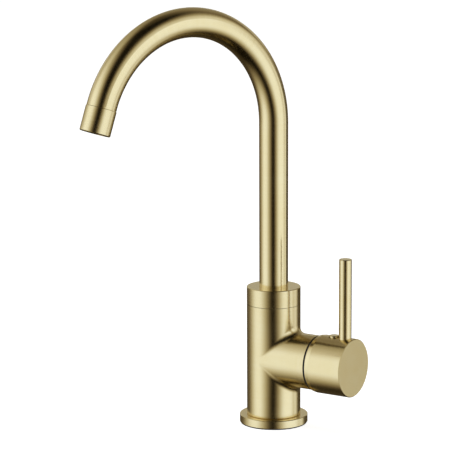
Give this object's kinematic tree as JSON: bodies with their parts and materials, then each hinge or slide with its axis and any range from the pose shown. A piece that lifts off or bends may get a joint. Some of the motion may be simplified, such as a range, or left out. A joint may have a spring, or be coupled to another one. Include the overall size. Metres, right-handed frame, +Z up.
{
  "type": "basin mixer faucet",
  "caption": "Brushed gold single-lever basin mixer with a swivelling gooseneck spout, a side cap with a pin lever and a round base flange.",
  "frame": {"origin": "centre of the base underside at deck level, on the vertical body axis, at the mouth of the fixing stud socket", "axes": "+Z up along the body axis; +X out along the lever branch; the user stands on the -Y side; the spout at rest points 108.9 degrees clockwise from +X seen from above, which is mostly -Y"},
  "size_m": [0.1351, 0.1915, 0.3244],
  "materials": {
    "brushed_brass": "brushed satin gold",
    "machined_brass": "machined",
    "steel": "machined stainless",
    "black_rubber": "matt",
    "black_plastic": "matt",
    "white_plastic": "satin",
    "blue_plastic": "satin",
    "grey_plastic": "satin",
    "ceramic": "lapped"
  },
  "bodies": {
    "mixer_body": {"base_gasket": "black_rubber", "base_flange": "brushed_brass", "body_casting": "brushed_brass", "glide_ring": "white_plastic", "spout_retaining_screw": "steel", "cartridge_seals": "black_rubber", "cartridge_base": "white_plastic", "fixed_disc": "ceramic", "cartridge_casing": "white_plastic", "cartridge_nut": "machined_brass", "gap_ring": "black_plastic", "dome_ring": "brushed_brass"},
    "spout": {"spout_collar": "brushed_brass", "spigot_seals": "black_rubber", "spout_tube": "brushed_brass", "aerator_housing": "brushed_brass", "aerator_washer": "black_rubber", "aerator_mesh": "steel", "aerator_insert": "grey_plastic"},
    "cartridge_rotor": {"rotor": "blue_plastic", "pivot_pin": "steel"},
    "disc_slider": {"disc_carrier": "blue_plastic", "moving_disc": "ceramic"},
    "handle": {"spindle": "steel", "handle_cap": "brushed_brass", "lever_grub_screw": "steel", "screw_plug": "brushed_brass", "lever_pin": "brushed_brass"}
  },
  "joints": [
    {"name": "spout_swivel", "type": "hinge", "parent": "mixer_body", "child": "spout", "pos_m": [0, 0, 0.0935], "axis": [0, 0, 1], "continuous": true},
    {"name": "mixing_turn", "type": "hinge", "parent": "mixer_body", "child": "cartridge_rotor", "pos_m": [0.037, 0, 0.0515], "axis": [1, 0, 0], "range_deg": [-45, 45]},
    {"name": "flow_tilt", "type": "hinge", "parent": "cartridge_rotor", "child": "handle", "pos_m": [0.037, 0, 0.0515], "axis": [0, 1, 0], "range_deg": [0, 25]},
    {"name": "disc_slide", "type": "slide", "parent": "cartridge_rotor", "child": "disc_slider", "axis": [0, 0, 1], "range_m": [0, 0.00528]}
  ],
  "couplings": [
    {"joint": "disc_slide", "follows": "flow_tilt", "m_per_rad": 0.012107}
  ]
}
